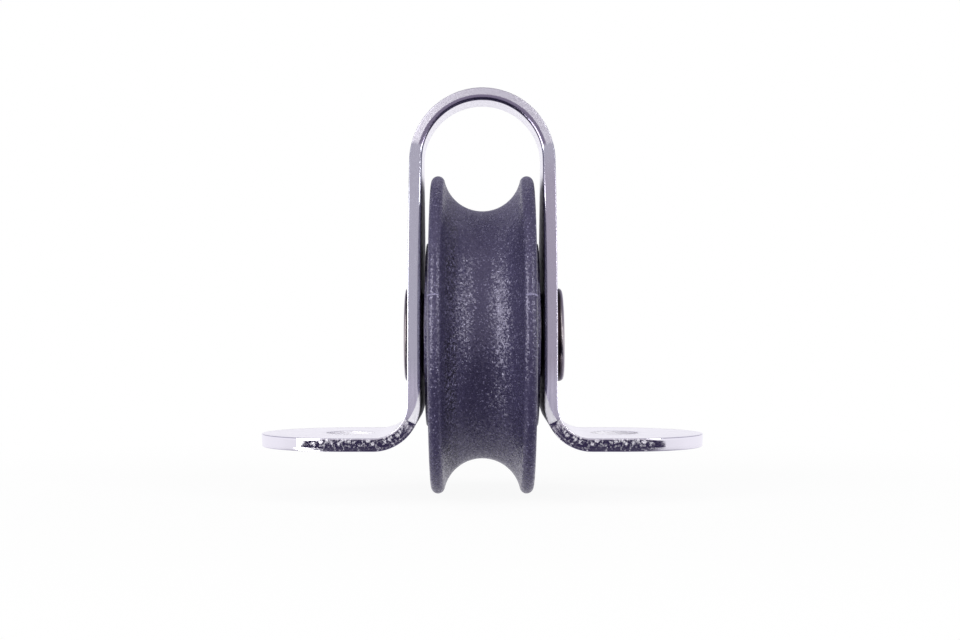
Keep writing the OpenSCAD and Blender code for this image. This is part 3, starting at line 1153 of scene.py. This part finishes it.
@dataclass
class Studio:
    """Camera, lamps, white surroundings, floor and the dark card that the foot edges mirror."""

    axle: Axle
    focal_px: float = 1727.0
    camera_mm: Triple = (-0.22, -164.0, 11.9)
    clip_mm: float = 10.0
    sensor_mm: float = 36.0
    room_hex: str = "#C6C0CC"
    ceiling_hex: str = "#A6A2B8"
    zenith_hex: str = "#716D84"
    near_shade_hex: str = "#5B566E"
    far_shade_hex: str = "#C8C5D4"
    backdrop_hex: str = "#FAF8FF"
    ambient: float = 0.15
    floor_mm: float = 6000.0
    floor_drop_mm: float = 0.3
    paint: Rgba = (0.98, 0.98, 0.98, 1.0)
    bounce: Rgba = (0.75, 0.72, 0.82, 1.0)
    shadow_mm: Pair = (20.0, 90.0)
    shadow_share: float = 0.07
    card_x_mm: float = 43.0
    card_y_mm: Pair = (-60.0, -18.5)
    card_rise_mm: float = 0.2
    card_hex: str = "#393250"
    lamps: tuple[Softbox, ...] = (
        Softbox("left softbox", -53, 0, 620, 340, 1200, 5.4),
        Softbox("right softbox", 54, 22, 620, 100, 620, 9.0),
        Softbox("front fill", 0, 20, 700, 520, 400, 2.2, False),
        Softbox("top softbox", 0, 84, 700, 700, 500, 1.0, False))

    def build_camera(self) -> None:
        """Adds the camera, which looks along +Y.

        Its lens is the focal length in pixels over the image's width, times the sensor's width.
        """
        data = bpy.data.cameras.new("photo camera")
        data.sensor_width = self.sensor_mm
        data.lens = self.focal_px / IMAGE_WIDTH_PX * self.sensor_mm
        data.clip_start = self.clip_mm * MM
        made = bpy.data.objects.new("photo camera", data)
        made.location = Vector(self.camera_mm) * MM
        made.rotation_euler = (np.pi / 2, 0, 0)
        bpy.context.scene.collection.objects.link(made)
        bpy.context.scene.camera = made

    def build_world(self) -> None:
        """Makes the surroundings: white to the camera, a studio to a mirror, and a soft light to the rest.

        The studio is white at the sides and behind, greyer in front and above, dark on the ground in front
        and paler on the ground behind. Each ramp is a smooth step of one part of the direction.
        """
        world = bpy.data.worlds.new("white surroundings")
        bpy.context.scene.world = world
        add = partial(add_node, empty_tree(world))
        right, away, up = add("SeparateXYZ", inputs={0: add("TexCoord").outputs["Generated"]}).outputs
        sideways = add("Math", {"operation": "ABSOLUTE"}, {0: right})
        ramps = {name: add("MapRange", SMOOTH, {0: part, 1: low, 2: high}) for name, part, low, high in (
            ("beside", sideways, 0.5, 0.85), ("behind", away, -0.1, 0.3), ("above", up, 0.06, 0.24),
            ("overhead", up, 0.6, 0.95), ("below", up, -0.1, -0.5))}
        ramps["open"] = add("Math", GREATER, {0: ramps["beside"], 1: ramps["behind"]})
        shades = {name: linear(hex_colour) for name, hex_colour in (
            ("room", self.room_hex), ("ceiling", self.ceiling_hex), ("zenith", self.zenith_hex),
            ("backdrop", self.backdrop_hex), ("near ground", self.near_shade_hex),
            ("far ground", self.far_shade_hex))}
        for name, ramp, first, second in (
                ("all above", "overhead", "ceiling", "zenith"),
                ("all white", "above", "backdrop", "all above"),
                ("all round", "open", "room", "all white"),
                ("all below", "behind", "near ground", "far ground"),
                ("studio", "below", "all round", "all below")):
            shades[name] = add("Mix", COLOUR, {0: ramps[ramp], 1: shades[first], 2: shades[second]})
        rays = add("LightPath").outputs
        seen = add("Math", GREATER, {0: rays["Is Camera Ray"], 1: rays["Is Transmission Ray"]})
        light = add("Background", inputs={"Color": WHITE, "Strength": self.ambient})
        mirror = add("Background", inputs={"Color": shades["studio"]})
        white = add("Background", inputs={"Color": WHITE})
        unseen = add("MixShader", inputs={0: rays["Is Glossy Ray"], 1: light, 2: mirror})
        shown = add("MixShader", inputs={0: seen, 1: unseen, 2: white})
        add("OutputWorld", inputs={"Surface": shown})

    def floor_material(self) -> Material:
        """White painted board: plain white far away, and lit near the block so that it keeps its shadow.

        Returns:
            The floor's material.
        """
        made = bpy.data.materials.new("white painted board")
        add = partial(add_node, empty_tree(made))
        reach = add("VectorMath", {"operation": "LENGTH"}, {0: add("TexCoord").outputs["Object"]})
        full, none = self.shadow_mm
        near = add("MapRange", SMOOTH, {0: reach, 1: none * MM, 2: full * MM, 4: self.shadow_share})
        rays = add("LightPath").outputs
        direct = add("Math", GREATER, {0: rays["Is Camera Ray"], 1: rays["Is Glossy Ray"]})
        seen = add("Math", GREATER, {0: direct, 1: rays["Is Transmission Ray"]})
        paint = add("BsdfDiffuse", inputs={"Color": self.paint})
        bounce = add("BsdfDiffuse", inputs={"Color": self.bounce})
        white = add("Emission", inputs={"Color": WHITE, "Strength": 1.0})
        board = add("MixShader", inputs={0: near, 1: white, 2: paint})
        shown = add("MixShader", inputs={0: seen, 1: bounce, 2: board})
        add("OutputMaterial", inputs={"Surface": shown})
        return made

    def card_material(self) -> Material:
        """Dark matt card, which gives the foot edges their dark mirror image.

        Returns:
            The card's material.
        """
        made = bpy.data.materials.new("black card")
        add = partial(add_node, empty_tree(made))
        add("OutputMaterial", inputs={"Surface": add("BsdfDiffuse", inputs={"Color": linear(self.card_hex)})})
        return made

    def sheet(self, name: str, x_mm: Pair, y_mm: Pair, z_mm: float, finish: Material) -> Object:
        """Adds a level sheet of the studio, such as the floor.

        Args:
            name: Name of the sheet.
            x_mm: Its reach in X.
            y_mm: Its reach in Y.
            z_mm: Its height.
            finish: Its material.

        Returns:
            The sheet's object.
        """
        mesh = bpy.data.meshes.new(name)
        corners = [(x_mm[x], y_mm[y], z_mm) for x, y in ((0, 0), (1, 0), (1, 1), (0, 1))]
        mesh.from_pydata(np.array(corners) * MM, [], [(0, 1, 2, 3)])
        mesh.materials.append(finish)
        made = bpy.data.objects.new(name, mesh)
        bpy.context.scene.collection.objects.link(made)
        return made

    def build_sheets(self) -> None:
        """Adds the floor under the sheave, and the dark card in front that only mirrors see."""
        level = self.axle.height - self.axle.sheave_r - self.floor_drop_mm
        reach = (-self.floor_mm / 2, self.floor_mm / 2)
        floor = self.sheet("floor", reach, reach, level, self.floor_material())
        floor.visible_glossy = False
        card = self.sheet("dark_card", (-self.card_x_mm, self.card_x_mm), self.card_y_mm,
                          level + self.card_rise_mm, self.card_material())
        card.visible_camera = False
        card.visible_diffuse = False
        card.visible_shadow = False

    def build(self) -> None:
        """Builds the studio round the block."""
        self.build_camera()
        self.build_world()
        self.build_sheets()
        target = Vector((0, 0, self.axle.height * MM))
        for lamp in self.lamps:
            lamp.build(target)
        bpy.context.scene.view_settings.view_transform = "Standard"


def main() -> None:
    """Builds the studio and the four pieces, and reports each."""
    logging.basicConfig(level=logging.INFO, format="%(name)s: %(message)s")
    axle = Axle.from_frame()
    Studio(axle).build()
    rivet = TubeRivet(axle)
    pieces = (Strap.from_frame(axle).build(), Sheave(axle).build(), rivet.build_rivet(), rivet.build_bush())


if __name__ == "__main__":
    main()
